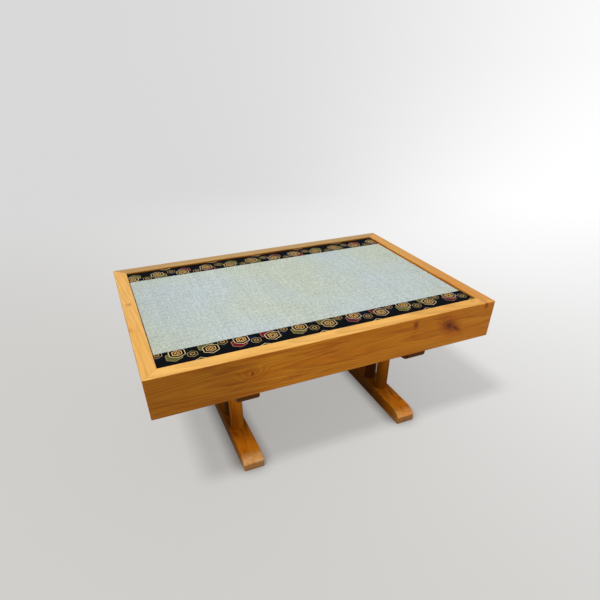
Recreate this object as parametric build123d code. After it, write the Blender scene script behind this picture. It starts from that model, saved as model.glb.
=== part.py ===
from build123d import *
import math
import os

# A low tatami-topped table: a mitred solid-wood tray holding a loose tatami mat,
# carried by two trestles. Each trestle is a foot, two pairs of round posts and a head bar.
#
# Millimetres. The origin is the middle of the footprint, on the floor.
# +X runs along the table's length, +Y to its back and +Z up.

os.makedirs("parts", exist_ok=True)

# ---------------------------------------------------------------- driving sizes
# tray
table_length = 700.0
table_depth = 480.0
rail_height = 80.0
rail_thickness = 27.0
rail_easing = 1.5  # radius of every long edge of the rails

# trestles
trestle_inset = 170.0  # from the table's end to the middle of a trestle
trestle_width = 42.0  # foot, head bar and bearer, along X
bar_end_setback = 10.0  # foot and head bar stop this far inside the long faces
bar_height = 27.0
nose_run = 27.0  # rounded end of a foot, measured along Y
nose_drop = 16.0  # the same, measured down from the top
bar_easing = 2.0
post_diameter = 28.0
post_length = 138.0  # shoulder to shoulder
post_inset = 110.0  # from a foot's end to the middle of its outer post
post_pitch = 50.0  # between the middles of the two posts of a pair
tenon_diameter = 18.0
tenon_length = 17.0
tenon_chamfer = 1.0

# tatami mat
mat_thickness = 18.0
mat_recess = 3.0  # border's face below the rim
mat_gap = 1.0  # all round, between mat and rails
facing_thickness = 1.5
facing_turn = 30.0  # rush facing turned under at each short end
border_thickness = 1.0
border_width = 47.0
border_turn = 30.0  # border turned under along each long edge
fold_share = 0.8  # outer radius of a fold, in thicknesses

# what carries the mat
board_thickness = 9.0
board_gap = 1.0
push_hole_diameter = 32.0  # a finger pushes the mat up through it
ledger_width = 15.0
ledger_height = 18.0
bearer_shoulder = 6.0  # above and below a bearer's stub tenon
bearer_cheek = 8.0  # on each side of it
bearer_tenon_length = 10.0

# mitre splines
spline_thickness = 4.0
spline_wall = 5.0  # wood left outside a spline
spline_stop = 12.0  # wood left above it, under the rim

# fits
socket_end_gap = 1.0  # glue space at the bottom of a socket, slot or mortise
glue_fit = 0.1  # round a tenon or spline, on each side
screw_fit = 0.1  # round a screw, on each side

# countersunk wood screws: shank diameter, head diameter, length
trestle_screw_shank = 4.5
trestle_screw_head = 9.0
trestle_screw_length = 40.0
ledger_screw_shank = 3.5
ledger_screw_head = 7.0
ledger_screw_length = 30.0
board_screw_shank = 3.0
board_screw_head = 6.0
board_screw_length = 16.0
screw_point_share = 1.2  # length of the point, in shank diameters
screw_tip_share = 0.25  # width of its blunt tip
recess_depth_share = 0.25  # depth of the cross recess, in head diameters
recess_width_share = 0.14
recess_span_share = 0.55

# where the screws go
bar_screw_sink = 8.0  # head below the head bar's underside
post_screw_sink = 3.0  # head below the face that it enters
bar_screw_from_post = 45.0  # outwards, from the middle of an outer post
ledger_screw_rise = 6.0  # above the ledger's underside
long_ledger_screws = 4
short_ledger_screws = 2
ledger_screw_inset = 70.0  # first screw from the ledger's end
long_board_screws = 3
short_board_screws = 1
board_screw_inset = 30.0

# ------------------------------------------------------------- worked-out places
foot_top = bar_height
head_bottom = foot_top + post_length
rail_bottom = head_bottom + bar_height
rim_top = rail_bottom + rail_height
inside_length = table_length - 2 * rail_thickness
inside_depth = table_depth - 2 * rail_thickness

mat_top = rim_top - mat_recess
mat_bottom = mat_top - mat_thickness
mat_length = inside_length - 2 * mat_gap
mat_depth = inside_depth - 2 * mat_gap
facing_top = mat_top - border_thickness
core_top = facing_top - facing_thickness
lining_bottom = mat_bottom + border_thickness
core_bottom = lining_bottom + facing_thickness
core_length = mat_length - 2 * facing_thickness
core_depth = mat_depth - 2 * border_thickness

board_bottom = mat_bottom - board_thickness
ledger_bottom = board_bottom - ledger_height
bearer_height = ledger_bottom - rail_bottom

trestle_x = table_length / 2 - trestle_inset
bar_length = table_depth - 2 * bar_end_setback
outer_post_y = bar_length / 2 - post_inset
inner_post_y = outer_post_y - post_pitch
socket_diameter = tenon_diameter + 2 * glue_fit
socket_depth = tenon_length + socket_end_gap

cut_margin = 5.0  # how far a cutting shape reaches past what it cuts
hair = 0.01  # two places closer than this are the same

ends = {"left": -1, "right": 1}
sides = {"front": -1, "back": 1}


# ---------------------------------------------------------------------- helpers
def save(name, shape):
    shape.label = name
    export_step(shape, f"parts/{name}.step")


def slab(length, depth, low, high):
    """A block centred on the Z axis, from one height to another."""
    return Pos(0, 0, (low + high) / 2) * Box(length, depth, high - low)


def spread(count, length, inset):
    """Evenly spaced places along a piece, the first and last an inset from its ends."""
    if count == 1:
        return [0.0]
    span = length - 2 * inset
    return [span * (i / (count - 1) - 0.5) for i in range(count)]


def screw_body(shank, head, length, spare=0.0):
    """A countersunk screw pointing down, its head's face at the origin.
    spare is added all round, for the hole that it goes in."""
    cone = (head - shank) / 2
    point = shank * screw_point_share
    tip_radius = shank * screw_tip_share / 2
    neck = Pos(0, 0, -cone / 2) * Cone(shank / 2 + spare, head / 2 + spare, cone)
    run = length - cone - point
    rod = Pos(0, 0, -cone - run / 2) * Cylinder(shank / 2 + spare, run)
    tip = Pos(0, 0, -length + point / 2) * Cone(tip_radius + spare, shank / 2 + spare, point)
    return neck + rod + tip


def screw(shank, head, length):
    """A screw_body with a cross recess in its head."""
    body = screw_body(shank, head, length)
    span = head * recess_span_share
    width = head * recess_width_share
    depth = head * recess_depth_share
    slot = Box(span, width, 2 * depth)
    return body - slot - Rot(0, 0, 90) * slot


def screw_hole(shank, head, length, sink=0.0):
    """The hole for a screw whose head lies sink below the face at the origin."""
    hole = Pos(0, 0, -sink) * screw_body(shank, head, length, screw_fit)
    mouth = sink + cut_margin
    bore = Cylinder(head / 2 + screw_fit, mouth)
    return hole + Pos(0, 0, mouth / 2 - sink) * bore


def group(shapes):
    """Separate solids that share one node."""
    return Compound(children=list(shapes))


# -------------------------------------------------------------------- the screws
def screw_seats():
    """Every screw's place, as the location of the face that its head enters:
    the screw points along that location's -Z."""
    upwards = Rot(180, 0, 0)
    seats = {}
    for end, x_way in ends.items():
        x = x_way * trestle_x
        bar_y = outer_post_y + bar_screw_from_post
        seats[f"{end}_bar_screws"] = [Pos(x, y, head_bottom) * upwards for y in (-bar_y, 0, bar_y)]
        outer_posts = (-outer_post_y, outer_post_y)
        from_below = [Pos(x, y, 0) * upwards for y in outer_posts]
        from_above = [Pos(x, y, rail_bottom) for y in outer_posts]
        seats[f"{end}_post_screws"] = from_below + from_above
    ledger_z = ledger_bottom + ledger_screw_rise
    board_z = mat_bottom
    ledger_seats = []
    board_seats = []
    inner_y = inside_depth / 2 - ledger_width
    inner_x = inside_length / 2 - ledger_width
    for way in (-1, 1):
        for x in spread(long_ledger_screws, inside_length, ledger_screw_inset):
            ledger_seats.append(Pos(x, way * inner_y, ledger_z) * Rot(way * 90, 0, 0))
        for y in spread(short_ledger_screws, inside_depth, ledger_screw_inset):
            ledger_seats.append(Pos(way * inner_x, y, ledger_z) * Rot(0, way * -90, 0))
        for x in spread(long_board_screws, inside_length, board_screw_inset):
            board_seats.append(Pos(x, way * (inner_y + ledger_width / 2), board_z))
        for y in spread(short_board_screws, inside_depth, board_screw_inset):
            board_seats.append(Pos(way * (inner_x + ledger_width / 2), y, board_z))
    seats["ledger_screws"] = ledger_seats
    seats["board_screws"] = board_seats
    return seats


def screw_sizes(name):
    """Shank, head, length and sink of a group of screws."""
    if name == "ledger_screws":
        return ledger_screw_shank, ledger_screw_head, ledger_screw_length, 0.0
    if name == "board_screws":
        return board_screw_shank, board_screw_head, board_screw_length, 0.0
    sink = bar_screw_sink if "bar" in name else post_screw_sink
    return trestle_screw_shank, trestle_screw_head, trestle_screw_length, sink


seats = screw_seats()


def drill(piece, *names):
    """Cut the holes of the named groups of screws out of a piece."""
    for name in names:
        shank, head, length, sink = screw_sizes(name)
        hole = screw_hole(shank, head, length, sink)
        for seat in seats[name]:
            cutter = seat * hole
            if piece.bounding_box().overlaps(cutter.bounding_box()):
                piece = piece - cutter
    return piece


def screw_group(name):
    shank, head, length, sink = screw_sizes(name)
    one = Pos(0, 0, -sink) * screw(shank, head, length)
    return group(seat * one for seat in seats[name])


# ---------------------------------------------------------------------- the tray
def tray_ring():
    """The four rails as one eased ring, before it is cut at the mitres."""
    block = slab(table_length, table_depth, rail_bottom, rim_top)
    block = fillet(block.edges(), rail_easing)
    well = slab(inside_length, inside_depth, rail_bottom - cut_margin, rim_top + cut_margin)
    ring = block - well

    def on_rim(edge):
        middle = edge.center()
        along_x = math.isclose(abs(middle.Y), inside_depth / 2, abs_tol=hair)
        along_y = math.isclose(abs(middle.X), inside_length / 2, abs_tol=hair)
        return (along_x or along_y) and math.isclose(middle.Z, rim_top, abs_tol=hair)

    return fillet(ring.edges().filter_by(on_rim), rail_easing)


def mitre_wedge(long_side, way):
    """The prism that holds one rail: its two slanting faces are the 45-degree mitres."""
    half_run = (table_length if long_side else table_depth) / 2
    half_off = (table_depth if long_side else table_length) / 2
    out = cut_margin
    deep = rail_thickness + cut_margin
    corners = [
        (-half_run - out, way * (half_off + out)),
        (half_run + out, way * (half_off + out)),
        (half_run - deep, way * (half_off - deep)),
        (-half_run + deep, way * (half_off - deep)),
    ]
    if not long_side:
        corners = [(y, x) for x, y in corners]
    face = make_face(Polyline(*corners, close=True))
    return extrude(Pos(0, 0, rail_bottom - out) * face, rail_height + 2 * out, dir=(0, 0, 1))


def spline_place(x_way, y_way):
    """Across a mitre, in the middle of the rails' thickness."""
    x = x_way * (table_length - rail_thickness) / 2
    y = y_way * (table_depth - rail_thickness) / 2
    return Pos(x, y, rail_bottom) * Rot(0, 0, -45 * x_way * y_way)


def spline_block(spare=0.0, end_gap=0.0):
    """A loose tongue: wide across the mitre, thin along it, up from the rail's underside."""
    reach = (rail_thickness / 2 - spline_wall) * math.sqrt(2)
    width = 2 * reach - spline_thickness
    height = rail_height - spline_stop - socket_end_gap
    return Pos(0, 0, (height + end_gap) / 2) * Box(
        width + 2 * spare, spline_thickness + 2 * spare, height + end_gap
    )


def bearer_tenon(x_way, y_way, spare=0.0, end_gap=0.0):
    """A bearer's stub tenon into a long rail."""
    width = trestle_width - 2 * bearer_cheek + 2 * spare
    height = bearer_height - 2 * bearer_shoulder + 2 * spare
    run = bearer_tenon_length + end_gap
    y = y_way * (inside_depth + run) / 2
    return Pos(x_way * trestle_x, y, rail_bottom + bearer_height / 2) * Box(width, run, height)


def rail(ring, long_side, way):
    piece = ring & mitre_wedge(long_side, way)
    for x_way in (-1, 1):
        for y_way in (-1, 1):
            if way == (y_way if long_side else x_way):
                piece = piece - spline_place(x_way, y_way) * spline_block(glue_fit, socket_end_gap)
    if long_side:
        for x_way in (-1, 1):
            piece = piece - bearer_tenon(x_way, way, glue_fit, socket_end_gap)
    return drill(piece, "ledger_screws")


def ledger(long_side, way):
    """The strip that the mat board rests on. The short strips fit between the long ones."""
    if long_side:
        run = inside_length
        bar = Box(run, ledger_width, ledger_height)
        place = Pos(0, way * (inside_depth - ledger_width) / 2, ledger_bottom + ledger_height / 2)
    else:
        run = inside_depth - 2 * ledger_width
        bar = Box(ledger_width, run, ledger_height)
        place = Pos(way * (inside_length - ledger_width) / 2, 0, ledger_bottom + ledger_height / 2)
    return drill(place * bar, "ledger_screws", "board_screws")


def mat_board():
    board = slab(
        inside_length - 2 * board_gap, inside_depth - 2 * board_gap, board_bottom, mat_bottom
    )
    middle = Pos(0, 0, board_bottom + board_thickness / 2)
    board = board - middle * Cylinder(push_hole_diameter / 2, board_thickness + cut_margin)
    return drill(board, "board_screws")


def bearer(end, x_way):
    """A cross rail between the long rails, over a trestle's head bar."""
    block = slab(trestle_width, inside_depth, rail_bottom, ledger_bottom)
    piece = Pos(x_way * trestle_x, 0, 0) * block
    for y_way in (-1, 1):
        piece = piece + bearer_tenon(x_way, y_way)
    return drill(piece, f"{end}_bar_screws")


# ------------------------------------------------------------------ the trestles
def nosed_bar():
    """A foot: flat below, square at the ends, with a quarter ellipse at each upper corner."""
    half = bar_length / 2
    nose_y = half - nose_run
    nose_z = bar_height - nose_drop
    with BuildSketch(Plane.YZ) as side:
        with BuildLine():
            Line((-half, 0), (half, 0))
            Line((half, 0), (half, nose_z))
            EllipticalCenterArc((nose_y, nose_z), nose_run, nose_drop, 0, arc_size=90)
            Line((nose_y, bar_height), (-nose_y, bar_height))
            EllipticalCenterArc((-nose_y, nose_z), nose_run, nose_drop, 90, arc_size=90)
            Line((-half, nose_z), (-half, 0))
        make_face()
    bar = extrude(side.sketch, trestle_width / 2, both=True)

    def on_upper_side(edge):
        middle = edge.center()
        return math.isclose(abs(middle.X), trestle_width / 2, abs_tol=hair) and middle.Z > hair

    bar = fillet(bar.edges().filter_by(on_upper_side), bar_easing)
    socket = Cylinder(socket_diameter / 2, socket_depth + cut_margin)
    socket_z = bar_height - socket_depth / 2 + cut_margin / 2
    for y in (-outer_post_y, -inner_post_y, inner_post_y, outer_post_y):
        bar = bar - Pos(0, y, socket_z) * socket
    return bar


def foot(end, x_way, blank):
    return drill(Pos(x_way * trestle_x, 0, 0) * blank, f"{end}_post_screws")


def head_bar(end, x_way, blank):
    """The same bar upside down, under the rails."""
    place = Pos(x_way * trestle_x, 0, rail_bottom) * Rot(180, 0, 0)
    return drill(place * blank, f"{end}_post_screws", f"{end}_bar_screws")


def post(end, x_way, y):
    """A round post with a turned tenon at each end. Only the outer ones are screwed."""
    shaft = Cylinder(post_diameter / 2, post_length)
    core = Cylinder(tenon_diameter / 2, post_length + 2 * tenon_length)
    core = chamfer(core.edges().filter_by(GeomType.CIRCLE), tenon_chamfer)
    place = Pos(x_way * trestle_x, y, foot_top + post_length / 2)
    return drill(place * (shaft + core), f"{end}_post_screws")


# ------------------------------------------------------------------- the mat
def mat_core():
    return slab(core_length, core_depth, core_bottom, core_top)


def mat_backing():
    """The lining between the turned-under ends of the rush facing."""
    return slab(core_length - 2 * facing_turn, core_depth, lining_bottom, core_bottom)


def wrap(run, low, high, thickness, turn, flap):
    """Side outline of a cover laid over the mat and turned under at the positive side:
    run is the half width that it wraps, flap how far its top reaches back."""
    return [
        (run - flap, high),
        (run, high),
        (run, low),
        (run - turn, low),
        (run - turn, low + thickness),
        (run - thickness, low + thickness),
        (run - thickness, high - thickness),
        (run - flap, high - thickness),
    ]


def rounded_folds(face, run, low, high, radius):
    """Ease the two outer corners of a wrap where it turns over the mat's edge."""
    def on_fold(vertex):
        at_edge = math.isclose(abs(vertex.X), run, abs_tol=hair)
        at_face = min(abs(vertex.Y - low), abs(vertex.Y - high)) < hair
        return at_edge and at_face

    return fillet(face.vertices().filter_by(on_fold), radius)


def rush_facing():
    """Woven rush over the top, down both short ends and turned under them."""
    half = mat_length / 2
    outline = wrap(half, lining_bottom, facing_top, facing_thickness, facing_turn, half)
    mirrored = [(-x, z) for x, z in reversed(outline)]
    face = make_face(Polyline(*outline[1:-1], *mirrored[1:-1], close=True))
    face = rounded_folds(face, half, lining_bottom, facing_top, facing_thickness * fold_share)
    return extrude(Plane.XZ * face, core_depth / 2, both=True)


def border(way):
    """A brocade strip over the long edge of the mat, lapped over the rush facing."""
    half = mat_depth / 2
    outline = wrap(half, mat_bottom, mat_top, border_thickness, border_turn, border_width)
    face = make_face(Polyline(*outline, close=True))
    face = rounded_folds(face, half, mat_bottom, mat_top, border_thickness * fold_share)
    strip = extrude(Plane.YZ * face, mat_length / 2, both=True)
    return strip if way > 0 else mirror(strip, Plane.XZ)


# ------------------------------------------------------------------- the assembly
ring = tray_ring()
for side, way in sides.items():
    save(f"{side}_rail", rail(ring, True, way))
    save(f"{side}_ledger", ledger(True, way))
    save(f"{side}_border", border(way))
for end, way in ends.items():
    save(f"{end}_rail", rail(ring, False, way))
    save(f"{end}_ledger", ledger(False, way))
    save(f"{end}_bearer", bearer(end, way))

for side, y_way in sides.items():
    for end, x_way in ends.items():
        save(f"{side}_{end}_spline", spline_place(x_way, y_way) * spline_block())
        save(f"{side}_{end}_post", post(end, x_way, y_way * outer_post_y))
        save(f"{side}_{end}_inner_post", post(end, x_way, y_way * inner_post_y))

blank = nosed_bar()
for end, way in ends.items():
    save(f"{end}_foot", foot(end, way, blank))
    save(f"{end}_head_bar", head_bar(end, way, blank))

save("mat_board", mat_board())
save("mat_core", mat_core())
save("mat_backing", mat_backing())
save("rush_facing", rush_facing())

for name in seats:
    save(name, screw_group(name))
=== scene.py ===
from collections import namedtuple
import math

import bpy
import numpy as np
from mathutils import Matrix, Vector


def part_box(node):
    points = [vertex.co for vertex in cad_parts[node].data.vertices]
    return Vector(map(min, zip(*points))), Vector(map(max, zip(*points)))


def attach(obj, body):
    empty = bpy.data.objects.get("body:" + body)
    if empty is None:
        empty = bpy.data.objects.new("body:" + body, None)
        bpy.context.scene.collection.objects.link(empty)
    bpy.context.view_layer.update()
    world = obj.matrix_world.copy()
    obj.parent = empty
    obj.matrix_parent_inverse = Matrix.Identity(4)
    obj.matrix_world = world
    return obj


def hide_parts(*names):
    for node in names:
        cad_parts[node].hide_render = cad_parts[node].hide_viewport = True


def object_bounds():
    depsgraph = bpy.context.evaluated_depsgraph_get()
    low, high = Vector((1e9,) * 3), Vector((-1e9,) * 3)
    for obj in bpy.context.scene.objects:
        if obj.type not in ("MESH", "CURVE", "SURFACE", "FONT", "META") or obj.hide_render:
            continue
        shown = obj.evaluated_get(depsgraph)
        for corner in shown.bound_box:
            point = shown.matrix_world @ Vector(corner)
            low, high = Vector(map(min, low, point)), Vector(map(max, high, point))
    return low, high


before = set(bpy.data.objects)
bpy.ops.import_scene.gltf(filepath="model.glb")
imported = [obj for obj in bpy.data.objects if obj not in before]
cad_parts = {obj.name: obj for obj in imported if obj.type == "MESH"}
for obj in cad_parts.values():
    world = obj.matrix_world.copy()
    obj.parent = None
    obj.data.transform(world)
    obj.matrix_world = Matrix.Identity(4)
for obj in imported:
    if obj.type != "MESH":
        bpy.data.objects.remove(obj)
cad_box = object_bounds()

# A low tatami-topped table. The CAD pieces keep their shapes and get their finishes here.
# The woven rush facing and the two brocade borders are made here as cloth.
# Everything is in metres, except inside the materials, where places are millimetres.

mm = 0.001
seed = 20

# ------------------------------------------------------------------ sizes of the cloth
stem_pitch = 1.6 * mm  # from one rush stem to the next
stem_dip = 0.28 * mm  # valley between two stems
stem_wander = 0.22 * mm  # how far a stem strays from a straight line
stem_wave = 210.0 * mm  # length of the wave in which it does
ridge_pitch = 16.0 * mm  # from one pair of warp threads to the next
ridge_shoulder = 4.6 * mm  # from the middle of a ridge to where it starts to fall
ridge_dip = 0.42 * mm  # valley over the warp threads
facing_turn = 30.0 * mm  # turned under at the mat's short ends
facing_fold = 2.0 * mm  # outer radius of that fold
border_turn = 30.0 * mm  # turned under along the mat's long edges
border_fold = 1.4 * mm
border_puff = 0.25 * mm  # how far a border's middle stands above its edges
border_step = 4.0 * mm  # length of one facet along a border
border_wave = 0.25 * mm  # how far its inner edge strays from a straight line
border_wave_reach = 20.0 * mm  # how far in from that edge the cloth strays too

facing_low, facing_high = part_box("rush_facing")
core_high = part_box("mat_core")[1]
border_low, border_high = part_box("back_border")
facing_thickness = facing_high.z - core_high.z
border_thickness = border_high.z - facing_high.z
border_width = border_high.y - border_low.y
field_depth = 2 * border_low.y  # the woven field that shows between the borders


# ------------------------------------------------------------------------ camera
eye_place = (-0.3533, -0.8565, 0.6788)
eye_turn = (54.77, 0.06, -23.57)  # degrees round X, Y and Z
eye_lens = 27.27  # millimetres, with a frame 36 mm wide
eye_shift = 0.1293  # how far the frame is raised, as a share of its width


def make_camera():
    """A wide view from above the table's left front corner."""
    data = bpy.data.cameras.new("camera")
    data.sensor_width = 36.0
    data.lens = eye_lens
    data.shift_y = eye_shift
    camera = bpy.data.objects.new("camera", data)
    camera.location = eye_place
    camera.rotation_euler = [math.radians(angle) for angle in eye_turn]
    bpy.context.scene.collection.objects.link(camera)
    bpy.context.scene.camera = camera


# ------------------------------------------------------------------------ shader kit
class Signal:
    """A number, colour or vector that varies over a surface. It wraps one output
    socket, and Python's operators on it add Math nodes."""

    def __init__(self, finish, socket):
        self.finish = finish
        self.socket = socket

    def maths(self, operation, *others):
        return self.finish.node("ShaderNodeMath", {"operation": operation}, [self, *others])

    def output(self, name):
        """Another output of the node that this signal comes from."""
        return Signal(self.finish, self.socket.node.outputs[name])

    def __add__(self, other):
        return self.maths("ADD", other)

    __radd__ = __add__

    def __mul__(self, other):
        return self.maths("MULTIPLY", other)

    __rmul__ = __mul__

    def __sub__(self, other):
        return self.maths("SUBTRACT", other)

    def __rsub__(self, other):
        return self.finish.node("ShaderNodeMath", {"operation": "SUBTRACT"}, [other, self])

    def __truediv__(self, other):
        return self.maths("DIVIDE", other)

    def __pow__(self, other):
        return self.maths("POWER", other)

    def __abs__(self):
        return self.maths("ABSOLUTE")

    def floor(self):
        return self.maths("FLOOR")

    def fraction(self):
        return self.maths("FRACT")

    def sine(self):
        return self.maths("SINE")

    def at_least(self, other):
        return self.maths("MAXIMUM", other)

    def angle(self, across):
        """Angle of the point (across, self) round the origin."""
        return self.maths("ARCTAN2", across)

    def rise(self, low, high):
        """Smoothly from 0 at low to 1 at high. It falls if high is below low."""
        settings = {"interpolation_type": "SMOOTHSTEP"}
        ends = {"Value": self, "From Min": low, "From Max": high}
        return self.finish.node("ShaderNodeMapRange", settings, ends)


class Finish:
    """A material under construction: one Principled surface and the nodes behind it."""

    def __init__(self, name, **uniform):
        self.material = bpy.data.materials.new(name)
        self.material.use_nodes = True
        self.nodes = self.material.node_tree.nodes
        self.links = self.material.node_tree.links
        self.surface = self.nodes["Principled BSDF"]
        for socket, value in uniform.items():
            self.surface.inputs[socket.replace("_", " ")].default_value = value

    def fill(self, socket, value):
        if isinstance(value, Signal):
            self.links.new(value.socket, socket)
        elif hasattr(value, "__len__") and len(value) < len(socket.default_value):
            socket.default_value = (*value, 1.0)
        else:
            socket.default_value = value

    def node(self, kind, settings=None, inputs=None, output=0):
        """Add a node: its settings first, then the values or links of its sockets."""
        made = self.nodes.new(kind)
        for key, value in (settings or {}).items():
            setattr(made, key, value)
        named = inputs.items() if isinstance(inputs, dict) else enumerate(inputs or [])
        for key, value in named:
            self.fill(made.inputs[key], value)
        return Signal(self, made.outputs[output])

    def place(self):
        """Object coordinates in millimetres, as three signals."""
        return self.millimetres(self.node("ShaderNodeTexCoord", output="Object"))

    def unrolled(self):
        """The piece's own UV map in millimetres, as two signals."""
        return self.millimetres(self.node("ShaderNodeUVMap", {"uv_map": "cloth"}))[:2]

    def millimetres(self, vector):
        scaled = self.node(
            "ShaderNodeVectorMath", {"operation": "SCALE"}, {"Vector": vector, "Scale": 1 / mm}
        )
        parts = self.node("ShaderNodeSeparateXYZ", None, [scaled])
        return [parts.output(axis) for axis in "XYZ"]

    def vector(self, x, y, z=0.0):
        return self.node("ShaderNodeCombineXYZ", None, [x, y, z])

    def noise(self, x, y, z=0.0, detail=2.0, roughness=0.5):
        """Soft noise from 0 to 1, its grain about one unit wide."""
        inputs = {"Vector": self.vector(x, y, z), "Scale": 1.0}
        inputs.update(Detail=detail, Roughness=roughness)
        return self.node("ShaderNodeTexNoise", None, inputs)

    def dice(self, x, y=0.0):
        """A random number from 0 to 1 for each pair of whole numbers."""
        return self.node("ShaderNodeTexWhiteNoise", None, {"Vector": self.vector(x, y, seed)})

    def blend(self, share, first, second):
        """Colours mixed by a share from 0 to 1."""
        inputs = {0: share, 6: first, 7: second}
        return self.node("ShaderNodeMix", {"data_type": "RGBA"}, inputs, 2)

    def shade(self, colour, light):
        """A colour times a brightness."""
        grey = self.vector(light, light, light)
        return self.node("ShaderNodeVectorMath", {"operation": "MULTIPLY"}, [colour, grey])

    def bump(self, height, depth):
        """Relief, with depth the height in metres of a signal of 1."""
        inputs = {"Height": height, "Distance": depth, "Strength": 1.0}
        return self.node("ShaderNodeBump", None, inputs)

    def finish(self, **sockets):
        for socket, value in sockets.items():
            self.fill(self.surface.inputs[socket.replace("_", " ")], value)
        return self.material


def colour(red, green, blue):
    """A screen colour, 0 to 255, as the linear colour that a shader takes."""
    def linear(value):
        share = value / 255
        return share / 12.92 if share <= 0.04045 else ((share + 0.055) / 1.055) ** 2.4

    return tuple(linear(value) for value in (red, green, blue))


def paint(node, material):
    """Give a CAD piece its finish."""
    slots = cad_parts[node].material_slots
    for place in slots:
        place.material = material
    if not slots:
        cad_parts[node].data.materials.append(material)


# ------------------------------------------------------------------------ timber
honey = colour(226, 148, 36)
amber = colour(203, 111, 12)
russet = colour(168, 76, 8)
knot_brown = colour(76, 24, 0)
end_brown = colour(116, 80, 50)
joint_brown = colour(120, 66, 22)
sole_brown = colour(64, 32, 12)
# rubbed pale wood with a painted highlight
scuffed_pale_highlight = colour(244, 196, 134)
# Rim-top colours: pale from wear, with a painted sheen in them.
worn_sheen_honey = colour(246, 192, 106)
worn_sheen_amber = colour(236, 172, 80)
deep_rim = (colour(243, 187, 94), colour(232, 158, 64))
faded_rim = (colour(240, 194, 122), colour(226, 174, 98))

# A knot's place along the grain and across it, its size, how much longer than high it is, how
# much it leans and how far the growth rings bend round it, in millimetres, and how dark it is.
Knot = namedtuple("Knot", "run across size stretch lean swell dark", defaults=(1.3, 0.0, 12, 1.0))

# A bar of a trestle: its middle across its length, half its width, how far it reaches each
# way, how light its sides are beside its top (painted shade), how much its noses are rubbed
# pale (wear and a painted highlight) and how light its end grain is.
Bar = namedtuple("Bar", "middle half_width reach side_light rubbed end_light")

# A change along the grain: where it starts, where it is complete, and how strong it is there.
Fade = namedtuple("Fade", "start full share")

rim_height = cad_box[1].z / mm
half_length, half_depth = cad_box[1].x / mm, cad_box[1].y / mm
rail_low, rail_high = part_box("front_rail")
rail_foot = rail_low.z / mm
rail_thickness = (rail_high.y - rail_low.y) / mm  # as far in as the mitres run


def along_grain(place, grain):
    """The three coordinates turned so that the first runs along the grain."""
    x, y, z = place
    return {"X": (x, y, z), "Y": (y, x, z), "Z": (z, x, y)}[grain]


def oval(run, across, knot, size, stretch):
    """Distance from a knot's middle as a share of size, on an oval along the grain that is
    stretch times as long as it is high."""
    long_way = run - knot.run
    short_way = (across - knot.across - knot.lean * long_way) / size
    long_way = long_way / (stretch * size)
    return (long_way * long_way + short_way * short_way) ** 0.5


def mitre_lines(x, y):
    """1 on the four slanting joints of the tray, seen from above or below."""
    from_end, from_side = half_length - abs(x), half_depth - abs(y)
    line = abs(from_end - from_side).rise(0.7, 0.2)
    inside = rail_thickness + 1
    return line * from_side.rise(inside, inside - 1) * from_end.rise(inside, inside - 1)


def with_knots(reach, run, across, swirl, knots):
    """The rings' reach bent round the knots, how much of each place is knot, and how much
    of it is the redder wood round one."""
    mark = halo = None
    for knot in knots:
        bent = oval(run, across, knot, knot.swell, 2.1) + 0.3 * swirl - 0.15
        reach = reach + 0.6 * knot.swell * bent.rise(1.0, 0.0)
        away = oval(run, across, knot, knot.size, knot.stretch) + 0.8 * swirl - 0.4
        heart = 0.82 * away.rise(0.8, 0.25)
        rings = 0.5 + 0.5 * (away * 10.0).sine()
        whole = knot.dark * heart.at_least(away.rise(1.5, 0.7) * (0.1 + 0.35 * rings))
        mark = whole if mark is None else mark.at_least(whole)
        glow = knot.dark * away.rise(2.6, 0.6)
        halo = glow if halo is None else halo.at_least(glow)
    return reach, mark, halo


def bar_wear(f, base, place, turned, fibre, bar):
    """The colour of a trestle's bar from its timber's: painted shade down its sides and under
    the table, painted light on its top towards its ends, stained along its top, rubbed pale on
    its noses by wear with a painted highlight, and dark on its end grain and its sole. place is
    in the object's own directions, turned has the grain first."""
    x, y, z = place
    run, first, second = turned
    out = abs(run)
    # painted shade down the sides
    on_side = abs(first - bar.middle).rise(bar.half_width - 1.8, bar.half_width - 0.3)
    base = f.shade(base, 1 - (1 - bar.side_light) * on_side)
    # painted shade in the middle, under the table
    base = f.shade(base, 0.5 + 0.5 * out.rise(bar.reach - 130, bar.reach - 84))
    # painted light on the top towards the ends
    base = f.shade(base, 1 + 0.9 * out.rise(bar.reach - 90, bar.reach - 30))

    nose = out.rise(bar.reach - 30, bar.reach - 6)
    stain = f.noise(run / 22, first / 6, second / 6, 3.0, 0.6).rise(0.5, 0.68)
    base = f.blend(0.5 * stain * (1 - nose), base, f.shade(russet, 0.5))
    scuff = f.noise(x / 11, y / 9, z / 9, 1.0).rise(0.34, 0.66)
    # the painted light eased off again on the nose
    base = f.shade(base, 1 - 0.4 * nose)
    # the nose rubbed pale: wear, with a painted highlight
    rubbed = bar.rubbed * nose * (0.45 + 0.55 * scuff)
    base = f.blend(rubbed, base, f.shade(scuffed_pale_highlight, 0.86 + 0.2 * fibre))

    speckle = f.noise(x / 5, z / 5, 0.0, 1.0).rise(0.35, 0.65)
    at_end = out.rise(bar.reach - 1.6, bar.reach - 0.3) * (0.6 + 0.4 * speckle)
    base = f.blend(0.5 * at_end, base, end_brown)
    base = f.shade(base, 1 - (1 - bar.end_light) * at_end)
    return f.blend(0.6 * z.rise(2.4, 0.4), base, sole_brown)


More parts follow.
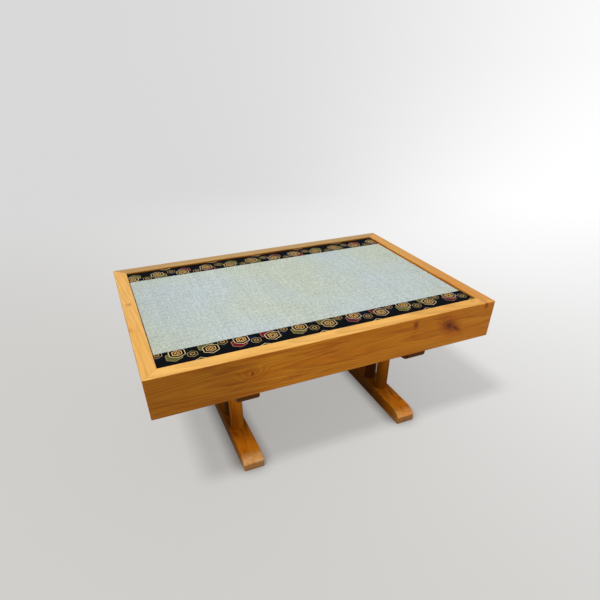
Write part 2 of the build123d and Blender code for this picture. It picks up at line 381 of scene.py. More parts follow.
def timber(
    name, grain, pith, taper=-0.04, ring=4.2, knots=(), knots_along=1,
    worn_sheen=None, light=1.0, deep=0.0, deep_end=None, painted_shade_end=None, bar=None, gloss=0.16,
):
    """Varnished softwood. The growth rings are cones round the pith, bent by soft noise
    and by the knots, so all faces and the end grain of one board agree. knots_along says
    which of the two cross directions the knots' places run along, and those that lie on the
    rim don't reach far down. worn_sheen holds the pale and the deep colour of the rim's top,
    worn and with a painted sheen, and deep from 0 to 1 leans all over to the deep one.
    deep_end is the Fade of how the rim deepens, painted_shade_end that of the painted shade
    that darkens the faces, and bar the Bar that the piece is."""
    f = Finish(name, Specular_IOR_Level=gloss)
    x, y, z = place = f.place()
    run, first, second = turned = along_grain(place, grain)
    bend = f.noise(run / 190, first / 60, second / 60, 1.0)
    swirl = f.noise(run / 60, first / 16, second / 16, 2.0)
    off_first = first - pith[0]
    off_second = second - pith[1]
    reach = (off_first * off_first + off_second * off_second) ** 0.5
    reach = reach + taper * run + 7 * bend + 2.2 * swirl
    across = second if knots_along == 1 else first
    reach, mark, halo = with_knots(reach, run, across, swirl, knots)

    turns = reach / ring
    year = turns.floor()
    season = turns.fraction()
    late = season.rise(0.15, 0.85) * season.rise(1.0, 0.9)
    late = late * (0.25 + 0.75 * f.dice(year))
    patch = f.noise(run / 160, first / 22, second / 22, 2.0)
    flame = f.noise(run / 90 + 7, first / 9, second / 9, 3.0, 0.6).rise(0.45, 0.75)
    fibre = f.noise(run / 26, first / 0.9, second / 0.9, 3.0, 0.6)
    fleck = f.noise(run / 6, first / 0.5, second / 0.5, 1.0).rise(0.62, 0.8)

    pale, dark, on_rim = honey, amber, 0.0
    # the rim's top: worn pale, with a painted sheen
    if worn_sheen:
        on_rim = z.rise(rim_height - 1.5, rim_height - 0.2)
        pale = f.blend(on_rim, pale, worn_sheen[0])
        dark = f.blend(on_rim, dark, worn_sheen[1])
    share = 0.1 + 0.6 * patch.rise(0.25, 0.75) + deep
    if deep_end:
        share = share + deep_end.share * run.rise(deep_end.start, deep_end.full) * on_rim
    base = f.blend(share, pale, dark)
    base = f.blend(0.45 * late, base, f.shade(dark, 0.6))
    if worn_sheen:
        flame = flame * (1 - 0.7 * on_rim)
    base = f.blend(0.62 * flame, base, russet)
    tone = light * (0.90 + 0.20 * fibre - 0.14 * fleck)
    # painted shade: the faces darker along the grain towards one end, the rim's top left as it is
    if painted_shade_end:
        painted_shade = painted_shade_end.share * run.rise(painted_shade_end.start, painted_shade_end.full)
        tone = tone * (1 - painted_shade * (1 - on_rim))
    base = f.shade(base, tone)
    if mark and knots_along == 0:
        in_rim = z.rise(rim_height - 14, rim_height - 5)
        mark, halo = mark * in_rim, halo * in_rim
    if mark:
        base = f.blend(0.65 * halo, base, russet)
        base = f.blend(mark, base, knot_brown)
    if worn_sheen:
        base = f.blend(0.55 * mitre_lines(x, y), base, joint_brown)
        # darker along the rails' bottom arris
        base = f.blend(0.45 * z.rise(rail_foot + 2.2, rail_foot + 0.6), base, joint_brown)
    if bar:
        base = bar_wear(f, base, place, turned, fibre, bar)
    relief = f.bump(fibre * 0.6 - 0.4 * late, 0.00012)
    rough = 0.36 + 0.16 * fibre
    return f.finish(Base_Color=base, Roughness=rough, Normal=relief)


def raw_timber(name, grain, pith):
    """Planed softwood with no varnish, for what is inside."""
    f = Finish(name, Specular_IOR_Level=0.25)
    run, first, second = along_grain(f.place(), grain)
    bend = f.noise(run / 120, first / 40, second / 40, 1.0)
    off_first = first - pith[0] + 10 * bend
    off_second = second - pith[1]
    reach = (off_first * off_first + off_second * off_second) ** 0.5 + 6 * bend
    season = (reach / 3.4).fraction()
    late = season.rise(0.3, 0.92) * season.rise(1.0, 0.93)
    fibre = f.noise(run / 22, first / 0.6, second / 0.6, 3.0, 0.6)
    base = f.blend(0.6 * late, colour(222, 188, 132), colour(186, 132, 74))
    base = f.shade(base, 0.88 + 0.24 * fibre)
    relief = f.bump(fibre - late, 0.0001)
    return f.finish(Base_Color=base, Roughness=0.6 + 0.15 * fibre, Normal=relief)


def plywood(low, high, plies=7):
    """Birch ply between two corners of a box: the face veneer's grain along X, and crossed
    plies on the edges."""
    f = Finish("birch_ply", Specular_IOR_Level=0.25)
    x, y, z = f.place()
    level = (z - low.z / mm) / ((high.z - low.z) / mm / plies)
    crossed = (level.floor() * 0.5).fraction().rise(0.2, 0.3)
    seam = abs(level.fraction() - 0.5).rise(0.42, 0.5)
    long_fibre = f.noise(x / 40, y / 2.2, z, 3.0)
    cross_fibre = f.noise(x / 2.2, y / 40, z, 3.0)
    fibre = long_fibre * (1 - crossed) + cross_fibre * crossed
    figure = f.noise(x / 160, y / 26, 0.0, 2.0).rise(0.35, 0.7)
    base = f.blend(figure, colour(226, 200, 156), colour(206, 170, 120))
    base = f.shade(base, 0.82 + 0.3 * fibre - 0.16 * crossed)
    end, side = high.x / mm, high.y / mm
    on_edge = abs(x).rise(end - 0.4, end - 0.1).at_least(abs(y).rise(side - 0.4, side - 0.1))
    base = f.blend(0.7 * seam * on_edge, base, colour(92, 58, 30))
    return f.finish(Base_Color=base, Roughness=0.6 + 0.2 * fibre, Normal=f.bump(fibre, 0.0001))


def pressed_fibre():
    """The mat's core: coarse brown wood fibre pressed into a board."""
    f = Finish("pressed_fibre", Specular_IOR_Level=0.2)
    x, y, z = f.place()
    strands = f.noise(x / 3.0, y / 0.9, z / 0.9, 4.0, 0.65)
    crossing = f.noise(x / 0.9, y / 3.0, z / 0.9, 4.0, 0.65)
    base = f.blend(strands.rise(0.35, 0.65), colour(96, 66, 38), colour(158, 118, 74))
    base = f.shade(base, 0.7 + 0.6 * crossing)
    return f.finish(Base_Color=base, Roughness=0.9, Normal=f.bump(strands + crossing, 0.0004))


def tape_cloth():
    """The mat's lining: flat plastic tapes in plain weave."""
    f = Finish("tape_cloth", Specular_IOR_Level=0.4)
    x, y = f.place()[:2]
    tape = 2.4
    column, row = x / tape, y / tape
    over = ((column.floor() + row.floor()) * 0.5).fraction().rise(0.2, 0.3)
    lengthwise = abs(row.fraction() - 0.5).rise(0.5, 0.38)
    crosswise = abs(column.fraction() - 0.5).rise(0.5, 0.38)
    face = lengthwise * over + crosswise * (1 - over)
    tint = f.noise(x / 30, y / 30, 0.0, 2.0)
    base = f.blend(tint, colour(196, 200, 196), colour(176, 184, 184))
    # painted shade: each tape darker towards its edges, where it dips under the crossing tapes
    base = f.shade(base, 0.62 + 0.38 * face)
    rough = 0.4 + 0.15 * over
    return f.finish(Base_Color=base, Roughness=rough, Normal=f.bump(face, 0.0003))


def screw_steel():
    """Yellow-passivated steel, a little dulled."""
    f = Finish("screw_steel", Metallic=1.0)
    x, y, z = f.place()
    cloud = f.noise(x / 2.5, y / 2.5, z / 2.5, 3.0)
    base = f.blend(cloud.rise(0.35, 0.7), colour(206, 184, 128), colour(186, 176, 158))
    rough = 0.28 + 0.2 * cloud
    return f.finish(Base_Color=base, Roughness=rough, Normal=f.bump(cloud, 0.00005))


# ------------------------------------------------------------------------ woven rush
def rush():
    """Rush stems side by side, each a slightly different grey green, with painted shade in the
    valleys between stems and where they dip over the warp threads. Bluer and greener batches
    of stems take turns, and painted shade darkens those near the mat's left end a little."""
    f = Finish("woven_rush", Specular_IOR_Level=0.15)
    tint_start, tint_pitch = 262.0, 370.0
    left_shade_from, left_shade_full, left_shade = 200.0, 80.0, 0.09
    along, across = f.unrolled()
    turns = along / (stem_pitch / mm)
    stem = turns.floor()
    in_stem = abs(turns.fraction() - 0.5)
    ridge = across / (ridge_pitch / mm)
    in_ridge = abs(ridge.fraction() - 0.5)
    stem_row = (ridge + 0.5).floor() * 5.7
    tone = f.dice(stem, 3.0)
    length_tone = f.noise(stem * 7.3, across / 60, 0.0, 2.0)
    batches = ((along - tint_start) * (2 * math.pi / tint_pitch)).sine()
    patch = 0.8 * f.noise(along / 190, across / 240, 5.0, 1.0) + 0.1 + 0.1 * batches
    clouds = f.noise(along / 34, across / 34, 2.0, 1.0)
    bundles = f.noise(along / 9, across / 15, 4.0, 2.0, 0.6)
    tufts = f.noise(along / 4.6, across / 4.0, 9.0, 1.0, 0.6)
    wander = f.noise(along / 18, stem_row, 3.0, 1.0)
    green = colour(193, 201, 185)
    blue = colour(190, 201, 202)
    straw = colour(200, 202, 186)
    base = f.blend(patch.rise(0.3, 0.7), blue, green)
    base = f.blend(0.3 * length_tone.rise(0.45, 0.8), base, straw)
    light = 0.3 + 0.1 * tone + 0.9 * tufts + 0.3 * bundles + 0.16 * clouds
    # painted shade in the valleys over the warp threads and between the stems
    warp_shade = in_ridge.rise(0.36, 0.5) * (0.3 + 1.2 * wander)
    light = light * (1 - 0.12 * in_stem.rise(0.3, 0.5)) * (1 - 0.09 * warp_shade)
    # painted shade towards the mat's left end
    light = light * (1 - left_shade * along.rise(left_shade_from, left_shade_full))
    base = f.shade(base, light)
    streak = f.noise(along / 0.35, across / 12, 0.0, 2.0)
    relief = f.bump(streak, 0.00008)
    return f.finish(Base_Color=base, Roughness=0.6 + 0.15 * streak, Normal=relief)


def folded_path(corners, radius, arc_steps=6):
    """A path through corners in a plane, each inner corner rounded to radius. Returns its
    arc lengths, its points and the normals to its left, ready to be interpolated."""
    corners = np.array(corners)
    points, normals = [corners[0]], []
    for before, corner, after in zip(corners, corners[1:], corners[2:]):
        into = (corner - before) / np.linalg.norm(corner - before)
        out = (after - corner) / np.linalg.norm(after - corner)
        turn = into[0] * out[1] - into[1] * out[0]
        side = np.sign(turn)
        left_in = np.array([-into[1], into[0]])
        left_out = np.array([-out[1], out[0]])
        centre = corner - radius * into + side * radius * left_in
        for share in np.linspace(0, 1, arc_steps + 1):
            angle = share * math.pi / 2
            left = left_in * math.cos(angle) + left_out * math.sin(angle)
            points.append(centre - side * radius * left)
            normals.append(left)
    points.append(corners[-1])
    normals = np.array([normals[0], *normals, normals[-1]])
    points = np.array(points)
    lengths = np.concatenate([[0], np.cumsum(np.linalg.norm(np.diff(points, axis=0), axis=1))])
    return lengths, points, normals


def at(path, lengths):
    """Points and normals of a folded_path at the given arc lengths."""
    known, points, normals = path
    place = np.stack([np.interp(lengths, known, points[:, k]) for k in range(2)], axis=-1)
    normal = np.stack([np.interp(lengths, known, normals[:, k]) for k in range(2)], axis=-1)
    return place, normal / np.linalg.norm(normal, axis=-1, keepdims=True)


def grid_faces(rows, columns, first=0, flip=False):
    """Four-sided faces of a grid whose vertices are numbered row by row."""
    corner = np.arange((rows - 1) * columns).reshape(rows - 1, columns)[:, :-1].ravel() + first
    faces = np.stack([corner, corner + 1, corner + columns + 1, corner + columns], axis=1)
    return faces[:, ::-1] if flip else faces


def make_piece(name, vertices, faces, unrolled, material):
    """A smooth mesh object with its cloth coordinates as a UV map."""
    mesh = bpy.data.meshes.new(name)
    mesh.from_pydata(vertices.tolist(), [], faces)
    mesh.polygons.foreach_set("use_smooth", np.ones(len(mesh.polygons), bool))
    corner_vertex = np.zeros(len(mesh.loops), np.int32)
    mesh.loops.foreach_get("vertex_index", corner_vertex)
    layer = mesh.uv_layers.new(name="cloth")
    layer.data.foreach_set("uv", unrolled[corner_vertex].astype(np.float32).ravel())
    mesh.materials.append(material)
    mesh.update()
    piece = bpy.data.objects.new(name, mesh)
    bpy.context.scene.collection.objects.link(piece)
    return piece


def weave_rows():
    """Places across the mat: three for each ridge, and two under each border."""
    ridges = 2 * math.ceil((field_depth / ridge_pitch - 1) / 2) + 1
    middles = (np.arange(ridges) - ridges // 2) * ridge_pitch
    rows = middles[:, None] + np.array([-ridge_pitch / 2, -ridge_shoulder, ridge_shoulder])
    rows = np.append(rows.ravel(), middles[-1] + ridge_pitch / 2)
    in_valley = np.append(np.tile([1.0, 0.0, 0.0], ridges), 1.0)
    edge = facing_high.y
    under = [rows[-1] + (edge - rows[-1]) * share for share in (0.4, 1.0)]
    rows = np.concatenate([[-under[1], -under[0]], rows, under])
    return rows, np.concatenate([[1.0, 1.0], in_valley, [1.0, 1.0]])


def rush_facing(material):
    """The facing as a closed cover. Its outer surface is a path over the mat's top, down its
    ends and under them, carried across the mat, which is Y. With between and over 1 in the
    valleys between stems and over the warp threads, and 0 elsewhere, it lies in by
    dip = max(stem_dip x between, ridge_dip x over x (1 or 3/4 by turns))
    + stem_dip x (1 - between) x (0 to 1/4, each stem its own).
    Each stem strays along the path by stem_wander x sin(its own phase + 2 pi Y / stem_wave).
    The inner surface is the same path, set in by the thickness."""
    half = facing_high.x
    low, high = facing_low.z, facing_high.z
    corners = [
        (-half + facing_turn, low), (-half, low), (-half, high),
        (half, high), (half, low), (half - facing_turn, low),
    ]
    path = folded_path(corners, facing_fold)
    length = path[0][-1]
    stems = round(length / stem_pitch)
    lengths = np.arange(3 * stems + 1) * length / (3 * stems)
    between = np.append(np.tile([1.0, 0.0, 0.0], stems), 1.0)
    rows, over_warp = weave_rows()

    random = np.random.default_rng(seed)
    height = np.repeat(random.uniform(-0.25, 0.25, stems + 1), 3)[: len(lengths)]
    phase = np.repeat(random.uniform(0, 2 * np.pi, stems + 1), 3)[: len(lengths)]
    sway = stem_wander * np.sin(phase[:, None] + rows * 2 * np.pi / stem_wave)
    sway[[0, -1]] = 0
    place, normal = at(path, np.clip(lengths[:, None] + sway, 0, length))
    weave = np.broadcast_to(np.arange(len(lengths))[:, None] // 3, sway.shape)
    parity = (weave + np.arange(len(rows)) // 3) % 2
    dip = stem_dip * between[:, None] * np.ones(len(rows))
    dip = np.maximum(dip, ridge_dip * over_warp * (1 - 0.25 * parity))
    dip = dip + stem_dip * 0.5 * (height[:, None] + 0.25) * (1 - between[:, None])
    outer = place + normal * -dip[..., None]
    inner, _ = at(path, np.repeat(lengths[:, None], 2, axis=1))
    inner = inner - normal[:, [0, -1]] * facing_thickness

    def solid(points, across):
        """Points of the path's plane, with their places across the mat."""
        ys = np.broadcast_to(across, points.shape[:2])
        return np.stack([points[..., 0], ys, points[..., 1]], axis=-1).reshape(-1, 3)

    columns = len(rows)
    count = len(lengths) * columns
    vertices = np.concatenate([solid(outer, rows), solid(inner, rows[[0, -1]])])
    faces = grid_faces(len(lengths), columns).tolist()
    faces += grid_faces(len(lengths), 2, count, flip=True).tolist()
    step = np.arange(len(lengths) - 1)
    for side, edge in ((0, 0), (1, columns - 1)):
        rim_outer = step * columns + edge
        rim_inner = count + step * 2 + side
        rim = np.stack([rim_outer, rim_outer + columns, rim_inner + 2, rim_inner], axis=1)
        faces += (rim if side == 0 else rim[:, ::-1]).tolist()
    first_end = [*range(columns), count + 1, count]
    last = (len(lengths) - 1) * columns
    last_inner = count + 2 * (len(lengths) - 1)
    last_end = [*range(last, last + columns), last_inner + 1, last_inner]
    faces += [first_end[::-1], last_end]
    flat = np.concatenate([
        np.stack(np.broadcast_arrays(lengths[:, None], rows + ridge_pitch / 2), -1).reshape(-1, 2),
        np.stack(np.broadcast_arrays(lengths[:, None], rows[[0, -1]]), -1).reshape(-1, 2),
    ])
    return make_piece("rush_facing_woven", vertices, faces, flat, material), length


# ------------------------------------------------------------------------ brocade
ground_black = colour(9, 12, 17)
ghost_navy = colour(18, 24, 58)
ghost_green = colour(12, 32, 22)
gap_black = colour(20, 6, 4)
gold_thread = colour(238, 190, 98)
bright_thread = colour(255, 216, 150)
pale_thread = colour(255, 226, 168)
rust_thread = colour(58, 12, 6)
olive_thread = colour(106, 104, 52)
crimson_thread = colour(124, 36, 44)
plum_thread = colour(100, 26, 52)
dim_thread = colour(226, 188, 122)

# The pattern's places and sizes in millimetres, along the border and across it from its inner
# edge. Every second motif is turned over, so upright and turned ones stand at two levels. The
# size of a hexagon, or of a line or figure in it, is from its middle to its sides.
motif_pitch = 56.8
row_pitch = 44.6
row_start = -6.4
row_shift = 34.1  # how far a row lies along from the one before it
row_drop = 12.0  # how much further across the turned motifs of the next row lie
big_start, big_upright, big_turned = 37.9, 10.1, 18.7
big_size, big_edge, big_ring, big_heart, big_figure = 13.9, 13.3, 7.9, 6.4, 5.9
plain_place = (-6.5, 10.0)  # from the big hexagon's middle to the plain one's
ghost_place, ghost_size = (20.0, 9.0), 12.0
small_start, small_upright, small_turned = 62.0, 23.3, 4.9
small_size, small_edge, small_figure = 9.0, 8.3, 4.9


def hexagon(x, y):
    """Distance from the middle of a hexagon with a point at its top, square to its sides."""
    x, y = abs(x), abs(y)
    return x.at_least(x * 0.5 + y * math.sin(math.pi / 3))


def band(distance, middle, width, soft=0.15):
    """1 within a line of that width, 0 outside it."""
    return abs(distance - middle).rise(width / 2 + soft, width / 2 - soft)


def repeat(signal, pitch, start):
    """Which repeat a place lies in, and how far from that repeat's start."""
    turns = (signal - start) / pitch
    count = turns.floor()
    return count, (turns - count) * pitch + start


def flower(x, y, petals, inner, outer):
    """Petals round a middle, from an inner to an outer radius, with dark gaps between."""
    distance = (x * x + y * y) ** 0.5
    gap = abs((y.angle(x) * (petals / 2)).sine()).rise(0.35, 0.55)
    return gap * distance.rise(inner, inner + 0.3) * distance.rise(outer, outer - 0.3)


def lattice(x, y, pitch, width):
    """Crossed slanting lines."""
    lean = math.sin(math.pi / 3)
    first = abs(((x * lean + y * 0.5) / pitch).fraction() - 0.5)
    second = abs(((x * lean - y * 0.5) / pitch).fraction() - 0.5)
    edge = width / pitch / 2
    return first.rise(edge + 0.05, edge - 0.05).at_least(second.rise(edge + 0.05, edge - 0.05))


def brocade(name, shift, colour_shift):
    """Tortoiseshell brocade. Each motif is an outlined hexagon, filled with a gold lattice or
    a flower, over a plain hexagon in olive or crimson. They stand by turns near one edge of a
    row and near the other, every second one turned over, with small flower hexagons
    between them, and each row is shifted against the next."""
    f = Finish(name, Specular_IOR_Level=0.03)
    along, across = f.unrolled()
    row, level = repeat(across, row_pitch, row_start)
    step = along + shift - row * row_shift

    def motif(start, upright, turned):
        """Local coordinates of a motif: its column, and X and Y with the turned ones righted."""
        column, x = repeat(step, motif_pitch, start - motif_pitch / 2)
        x = x - start
        odd = (column * 0.5).fraction().rise(0.2, 0.3)
        y = (level - upright - (turned + row_drop * row - upright) * odd) * (1 - 2 * odd)
        return column, x, y

    column, x, y = motif(big_start, big_upright, big_turned)
    pair = ((column + colour_shift + row) * 0.5).floor()
    red = (pair * 0.5).fraction().rise(0.2, 0.3)
    plum = f.dice(column, row).rise(0.6, 0.65)
    plain_colour = f.blend(red, olive_thread, f.blend(plum, crimson_thread, plum_thread))

    cloth = ground_black
    ghost = hexagon(x - ghost_place[0], y - ghost_place[1]).rise(ghost_size, ghost_size - 0.4)
    cloth = f.blend(0.8 * ghost, cloth, f.blend(red, ghost_green, ghost_navy))
    plain_x, plain_y = x - plain_place[0], y - plain_place[1]
    behind = hexagon(plain_x, plain_y)
    plain = behind.rise(big_size, big_size - 0.3)
    veins = lattice(plain_x, plain_y, 4.6, 1.2)
    cloth = f.blend(plain, cloth, f.shade(plain_colour, 1 - 0.45 * veins))
    cloth = f.blend(0.22 * band(behind, big_size - 1.0, 1.3), cloth, pale_thread)
    shell = hexagon(x, y)
    cloth = f.blend(shell.rise(big_size, big_size - 0.3), cloth, gap_black)
    cloth = f.blend(shell.rise(big_heart, big_heart - 0.3), cloth, rust_thread)
    figure = flower(x, y, 6, 2.8, big_figure) * red + lattice(x, y, 4.8, 1.1) * (1 - red)
    figure = figure * shell.rise(big_figure, big_figure - 0.3)
    cloth = f.blend(figure, cloth, gold_thread)
    bright_ring = band(shell, big_ring, 1.2)
    cloth = f.blend(bright_ring, cloth, bright_thread)
    gold = figure.at_least(bright_ring)
    outline = band(shell, big_edge, 1.0)
    cloth = f.blend(outline, cloth, pale_thread)

    _, x, y = motif(small_start, small_upright, small_turned)
    small = hexagon(x, y)
    cloth = f.blend(small.rise(small_size, small_size - 0.3), cloth, ground_black)
    petals = flower(x, y, 6, 2.4, small_figure)
    cloth = f.blend(petals, cloth, f.shade(dim_thread, 0.8))
    edging = band(small, small_edge, 0.8)
    cloth = f.blend(0.8 * edging, cloth, dim_thread)

    raised = gold.at_least(outline).at_least(petals).at_least(edging).at_least(0.5 * plain)
    threads = ((along + across * 0.5) * (2 * math.pi / 0.7)).sine() * 0.5 + 0.5
    ribs = (across * (2 * math.pi / 0.55)).sine() * 0.5 + 0.5
    weave = threads * raised + ribs * (1 - raised)
    wear = f.noise(along / 14, across / 14, 0.0, 3.0)
    # painted shade between the threads of the weave, and brightness varied by wear
    cloth = f.shade(cloth, 0.72 + 0.3 * weave + 0.2 * wear)
    relief = f.bump(raised * 0.6 + weave * 0.4, 0.0002)
    metal = 0.35 * gold.at_least(petals)
    return f.finish(Base_Color=cloth, Metallic=metal, Roughness=0.85 - 0.35 * raised, Normal=relief)


def border(name, way, material):
    """A strip of cloth as a closed shell: its side outline goes up the border's inner edge,
    over the top, down the mat's side and under it, then back along the inner faces. At a
    length s from that edge its top rises by border_puff x sin(pi s / border_width)^0.6. The
    edge strays by border_wave x sin(2 pi X / 0.19 m + way) x sin(2 pi X / 0.071 m), which
    dies out over border_wave_reach."""
    inner_y, outer_y = border_low.y, border_high.y
    low, high = border_low.z, border_high.z
    corners = [(inner_y, high), (outer_y, high), (outer_y, low), (outer_y - border_turn, low)]
    path = folded_path(corners, border_fold)
    length = path[0][-1]
    top = np.linspace(0, border_width - border_fold, 13)
    arcs = [path[0][1:8], path[0][8:15]]
    lengths = np.unique(np.concatenate([top, *arcs, [length]]))
    outline, normal = at(path, lengths)
    count = len(lengths)
    rise = border_puff * np.sin(np.pi * np.clip(lengths / border_width, 0, 1)) ** 0.6
    half = facing_high.x
    stations = np.linspace(-half, half, round(2 * half / border_step) + 1)
    wave = np.sin(stations * 2 * np.pi / 0.19 + way) * np.sin(stations * 2 * np.pi / 0.071)
    outside = outline + normal * rise[:, None]
    inside = outline - normal * border_thickness
    shell = np.concatenate([outside, inside[::-1]])
    near_edge = np.clip(1 - lengths / border_wave_reach, 0, 1)
    near_edge = np.concatenate([near_edge, near_edge[::-1]])
    ys = shell[:, 0] + border_wave * wave[:, None] * near_edge
    zs = np.broadcast_to(shell[:, 1], ys.shape)
    xs = np.broadcast_to(stations[:, None], ys.shape)
    vertices = np.stack([xs, way * ys, zs], axis=-1).reshape(-1, 3)
    around = 2 * count
    ring = np.arange(around)
    start = np.arange(len(stations) - 1)[:, None] * around
    here, beside = start + ring, start + np.roll(ring, -1)
    faces = np.stack([here, beside, beside + around, here + around], axis=-1).reshape(-1, 4)
    if way > 0:
        faces = faces[:, ::-1]
    caps = [ring.tolist(), (ring + (len(stations) - 1) * around).tolist()]
    caps = [caps[0][::-1], caps[1]] if way < 0 else [caps[0], caps[1][::-1]]
    span = np.concatenate([lengths, lengths[::-1]])
    flat = np.stack(np.broadcast_arrays(-way * stations[:, None] + half, span), -1).reshape(-1, 2)
    piece = make_piece(name, vertices, faces.tolist() + caps, flat, material)
    return piece, length


# ------------------------------------------------------------------------ surroundings
window = (0.906, 0.423)  # the way to the bright side of the room, in plan
floor_reach = 40.0
floor_end = (500, 2300)  # from the middle, in millimetres, where it turns into the surround
floor_grey = (0.605, 0.597, 0.578)
floor_white = (0.93, 0.93, 0.93)
floor_bounce = (0.36, 0.35, 0.34)  # how much of each colour it sends back to the table


def surround(toward_window):
    """How bright the surround looks: pale grey, and white towards the window. It takes the
    cosine of the angle between a direction and the window's."""
    least, extra, narrowness = 0.69, 0.32, 6.0
    return least + extra * toward_window.at_least(0.0) ** narrowness


class World(Finish):
    """The world's nodes, made as a material's are."""

    def __init__(self, name):
        self.material = bpy.data.worlds.new(name)
        self.material.use_nodes = True
        self.nodes = self.material.node_tree.nodes
        self.links = self.material.node_tree.links
        self.surface = self.nodes["Background"]


def eye_rays(f):
    """1 for what the eye sees, straight or in a gloss or through glass."""
    ray = f.node("ShaderNodeLightPath")
    seen = ray.output("Is Camera Ray").at_least(ray.output("Is Glossy Ray"))
    return seen.at_least(ray.output("Is Transmission Ray"))


def sky(light_strength):
    """An even light all round, whose look is the surround's."""
    f = World("surround")
    direction = f.node("ShaderNodeTexCoord", output="Generated")
    parts = f.node("ShaderNodeSeparateXYZ", None, [direction])
    east, north = parts.output("X"), parts.output("Y")
    look = surround(east * window[0] + north * window[1])
    seen = eye_rays(f)
    strength = look * seen + light_strength * (1 - seen)
    bpy.context.scene.world = f.finish(Color=(1.0, 1.0, 1.0), Strength=strength)


def floor():
    """A wide pale floor, whiter towards the window. Part of what the eye sees is its own
    light, so the table's shadow stays soft. That light fails close under the feet, and far
    away the floor looks as the surround does."""
    signs = ((-1, -1), (1, -1), (1, 1), (-1, 1))
    corners = [(floor_reach * east, floor_reach * north, 0) for east, north in signs]
    mesh = bpy.data.meshes.new("floor")
    mesh.from_pydata(corners, [], [(0, 1, 2, 3)])
    ground = bpy.data.objects.new("floor", mesh)
    bpy.context.scene.collection.objects.link(ground)
    f = Finish("pale_floor")
    x, y = f.place()[:2]
    away = (x * x + y * y) ** 0.5
    toward = x * window[0] + y * window[1]
    pale = f.blend(toward.rise(-600, 1500), floor_grey, floor_white)
    seen = eye_rays(f)
    near_feet = f.node("ShaderNodeAmbientOcclusion", {"samples": 8}, {"Distance": 0.03}, "AO")
    matt = f.node("ShaderNodeBsdfDiffuse", None, [f.shade(pale, 0.46)])
    own = f.node("ShaderNodeEmission", None, [f.shade(pale, 0.575 * near_feet ** 1.5)])
    lit = f.node("ShaderNodeAddShader", None, [matt, own])
    bounce = f.node("ShaderNodeBsdfDiffuse", None, [floor_bounce])
    near = f.node("ShaderNodeMixShader", None, [seen, bounce, lit])
    look = surround(toward / away)
    distance = f.node("ShaderNodeEmission", None, [f.vector(look, look, look)])
    whole = f.node("ShaderNodeMixShader", None, [away.rise(*floor_end) * seen, near, distance])
    f.links.new(whole.socket, f.nodes["Material Output"].inputs["Surface"])
    ground.data.materials.append(f.material)


def lamp(name, place, target, size, power, glossy=True):
    """A square soft lamp that points at target."""
    data = bpy.data.lights.new(name, "AREA")
    data.shape = "SQUARE"
    data.size = size
    data.energy = power
    light = bpy.data.objects.new(name, data)
    way = np.array(target, float) - np.array(place, float)
    flat = math.hypot(way[0], way[1])
    light.location = place
    light.rotation_euler = (math.atan2(flat, -way[2]), 0, math.atan2(-way[0], way[1]))
    light.visible_glossy = glossy
    bpy.context.scene.collection.objects.link(light)


# ------------------------------------------------------------------------ the table
make_camera()

rim = (worn_sheen_honey, worn_sheen_amber)
front_knots = [
    Knot(-173, 237, 3.2, stretch=0.6, swell=19),
    Knot(158, 258, 6, stretch=0.7),
    Knot(241, 239, 12, stretch=1.4, lean=-0.35, swell=22),
    Knot(258, 230, 5.5, stretch=2.2, lean=-0.6),
    Knot(328, 266, 5, stretch=0.6),
]
paint("front_rail", timber(
    "front_rail_wood", "X", (-222, 230), knots=front_knots, worn_sheen=rim,
    # painted shade on the front face towards its left end
    deep_end=Fade(80, 280, 0.8), painted_shade_end=Fade(-120, -230, 0.28),
))
back_knots = [Knot(-120, 230, 7, swell=20), Knot(210, 246, 5)]
paint("back_rail", timber(
    "back_rail_wood", "X", (270, 252), taper=0.03, knots=back_knots, worn_sheen=faded_rim, light=0.64,
))
left_knots = [Knot(42, -337, 4, dark=0.45), Knot(-70, -352, 6, dark=0.4)]
paint("left_rail", timber(
    "left_rail_wood", "Y", (-290, 190), knots=left_knots, knots_along=0, worn_sheen=rim, light=0.96,
))
paint("right_rail", timber(
    "right_rail_wood", "Y", (410, 215), knots=[Knot(90, 228, 6, swell=18)], worn_sheen=deep_rim,
    light=0.86, deep=0.1, deep_end=Fade(90, -130, 0.6),
))
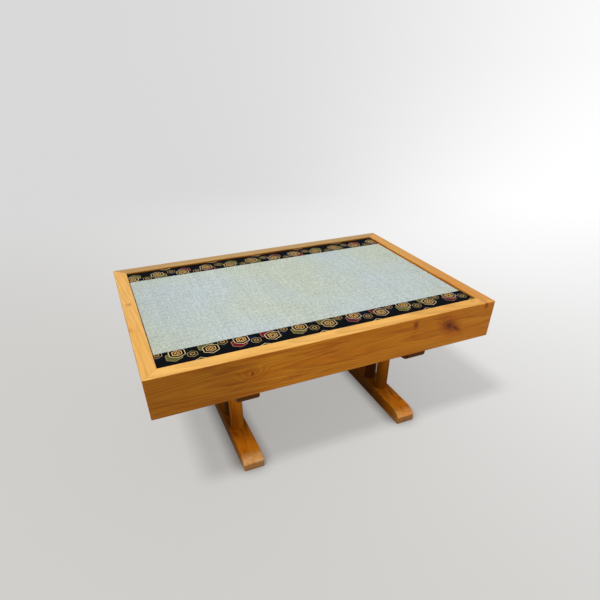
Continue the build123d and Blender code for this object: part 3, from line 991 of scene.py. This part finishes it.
for end, rubbed, end_light in (("left", 0.8, 0.78), ("right", 0.42, 0.7)):
    low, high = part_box(f"{end}_foot")
    x = (low.x + high.x) / 2 / mm
    size = {"middle": x, "half_width": (high.x - low.x) / 2 / mm, "reach": high.y / mm}
    foot = Bar(**size, side_light=0.5, rubbed=rubbed, end_light=end_light)
    # painted light: the feet's wood written lighter than the rails'
    paint(f"{end}_foot", timber(
        f"{end}_foot_wood", "Y", (x - 20, -38), light=1.22, deep=0.1, bar=foot, gloss=0.02,
    ))
    head_bar = Bar(**size, side_light=1.0, rubbed=0, end_light=0.7)
    # painted shade: the head bars' wood written dark
    paint(f"{end}_head_bar", timber(
        f"{end}_head_bar_wood", "Y", (x + 24, 240), light=0.24, deep=0.6, bar=head_bar,
        gloss=0.03,
    ))
    # painted light and shade: the left trestle's posts lighter, the right's darker, the inner posts
    # darkest
    outer_painted_light = {"left": 1.3, "right": 0.76}[end]
    for side in ("front", "back"):
        for kind, light in (("post", outer_painted_light), ("inner_post", 0.36)):
            name = f"{side}_{end}_{kind}"
            low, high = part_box(name)
            pith = (high.x / mm + 16, low.y / mm - 4)
            paint(name, timber(
                f"{name}_wood", "Z", pith, taper=0.02, ring=3.0, light=light, deep=0.1,
                # painted shade on the posts towards their feet
                painted_shade_end=Fade(130, 45, 0.46), gloss=0.02,
            ))

for side, y in (("front", -205), ("back", 205)):
    paint(f"{side}_ledger", raw_timber(f"{side}_ledger_wood", "X", (y * 0.8, 250)))
for end, x in (("left", -315), ("right", 315)):
    paint(f"{end}_ledger", raw_timber(f"{end}_ledger_wood", "Y", (x * 0.9, 240)))
    paint(f"{end}_bearer", raw_timber(f"{end}_bearer_wood", "Y", (x * 0.5, 150)))
spline_wood = raw_timber("spline_wood", "Z", (0, 0))
for side in ("front", "back"):
    for end in ("left", "right"):
        paint(f"{side}_{end}_spline", spline_wood)

board_low, board_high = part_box("mat_board")
paint("mat_board", plywood(board_low, board_high))
paint("mat_core", pressed_fibre())
paint("mat_backing", tape_cloth())
steel = screw_steel()
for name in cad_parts:
    if name.endswith("_screws"):
        paint(name, steel)

facing, facing_length = rush_facing(rush())
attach(facing, "mat")
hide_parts("rush_facing")

strips = {
    "front": (-1, brocade("front_brocade", shift=0.0, colour_shift=0)),
    "back": (1, brocade("back_brocade", shift=82.0, colour_shift=1)),
}
for side, (way, material) in strips.items():
    strip, strip_width = border(f"{side}_border_cloth", way, material)
    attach(strip, "mat")
    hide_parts(f"{side}_border")

floor()
sky(light_strength=0.38)
lamp("key_lamp", (-2.5, -0.72, 5.9), (0, 0, 0.15), 1.2, 250)
lamp("fill_lamp", (0.9, -2.6, 1.0), (0, 0, 0.1), 1.4, 11, glossy=False)

bpy.context.scene.view_settings.view_transform = "Standard"
